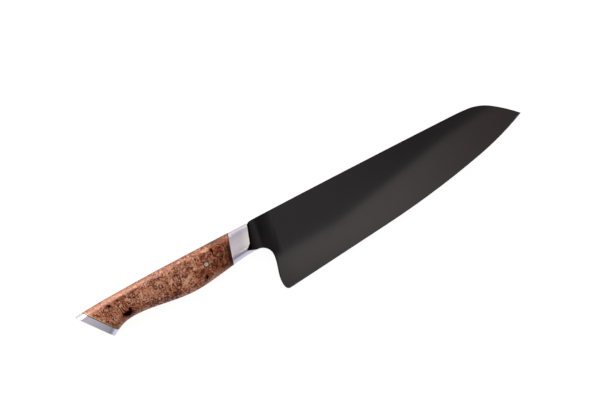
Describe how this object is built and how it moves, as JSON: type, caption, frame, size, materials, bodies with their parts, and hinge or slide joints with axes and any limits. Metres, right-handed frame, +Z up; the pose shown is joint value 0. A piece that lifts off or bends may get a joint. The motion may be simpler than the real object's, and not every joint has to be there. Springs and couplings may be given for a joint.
{
  "type": "kiritsuke kitchen knife",
  "caption": "Kiritsuke-style kitchen knife: deep dark blade with a clipped tip, polished bolster, curved burl handle with a cross pin and a raked steel end cap.",
  "frame": {"origin": "Under the centre of the knife's outline, on the plane that it lies on", "axes": "+X to the tip, +Y to the spine, +Z up, square to the blade's mid plane, with the knife lying on its side"},
  "size_m": [0.3412, 0.0548, 0.0212],
  "materials": {
    "blade_steel": "black forge finish, satin",
    "bolster_steel": "polished",
    "front_liner_fibre": "black vulcanised fibre",
    "maple_burl": "stabilised burl, oiled and buffed",
    "pin_steel": "dressed flush, satin",
    "tang_epoxy": "cured epoxy",
    "rear_liner_fibre": "dark vulcanised fibre",
    "cap_steel": "satin, polished edges",
    "dowel_steel": "ground"
  },
  "bodies": {
    "root": {"blade": "blade_steel", "bolster": "bolster_steel", "front_liner": "front_liner_fibre", "handle_block": "maple_burl", "handle_pin": "pin_steel", "tang_bed": "tang_epoxy", "rear_liner": "rear_liner_fibre", "end_cap": "cap_steel", "cap_dowels": "dowel_steel"}
  },
  "joints": []
}
